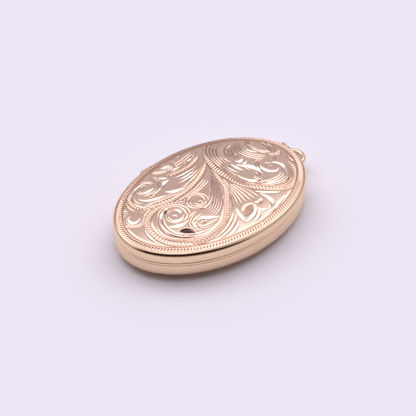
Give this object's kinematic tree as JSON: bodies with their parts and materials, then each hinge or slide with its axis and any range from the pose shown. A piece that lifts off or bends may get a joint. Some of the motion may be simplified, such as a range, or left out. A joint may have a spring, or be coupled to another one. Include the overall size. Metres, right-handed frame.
{
  "type": "oval hinged locket",
  "caption": "Oval engraved picture locket that opens on a side hinge, with photo frames, clear windows, a flat bow and a free jump ring.",
  "frame": {"origin": "centre of the small flat in the middle of the back cover, on the surface the locket lies on", "axes": "+Z out of the engraved front, +Y towards the bow, -X towards the hinge"},
  "size_m": [0.0243, 0.0378, 0.0062],
  "materials": {
    "rose_gold": "polished rolled rose gold on brass",
    "engraved_gold": "polished rolled rose gold, hand engraved",
    "yellow_gold": "polished, slightly yellower soldered fittings",
    "frame_gold": "satin",
    "pin_metal": "drawn wire",
    "clear_window": "clear film",
    "picture_card": "blank uncoated card"
  },
  "bodies": {
    "back_half": {"back_cover": "rose_gold", "back_rim": "rose_gold", "back_photo_frame": "frame_gold", "back_window": "clear_window", "back_picture_card": "picture_card", "hinge_bearer_back": "yellow_gold", "hinge_pin": "pin_metal", "bow": "yellow_gold", "hinge_knuckle_back_1": "yellow_gold", "hinge_knuckle_back_2": "yellow_gold", "hinge_knuckle_back_3": "yellow_gold"},
    "front_half": {"front_cover": "engraved_gold", "front_rim": "rose_gold", "front_photo_frame": "frame_gold", "front_window": "clear_window", "front_picture_card": "picture_card", "hinge_bearer_front": "yellow_gold", "hinge_knuckle_front_1": "yellow_gold", "hinge_knuckle_front_2": "yellow_gold"},
    "jump_ring": {"jump_ring": "yellow_gold"}
  },
  "joints": [
    {"name": "cover_hinge", "type": "hinge", "parent": "back_half", "child": "front_half", "pos_m": [-0.0122, 0, 0.00352], "axis": [0, -1, 0], "range_deg": [0, 170]},
    {"name": "jump_ring_swing", "type": "hinge", "parent": "back_half", "child": "jump_ring", "pos_m": [0, 0.0198, 0.0023], "axis": [-1, 0, 0], "range_deg": [0, 75]}
  ]
}
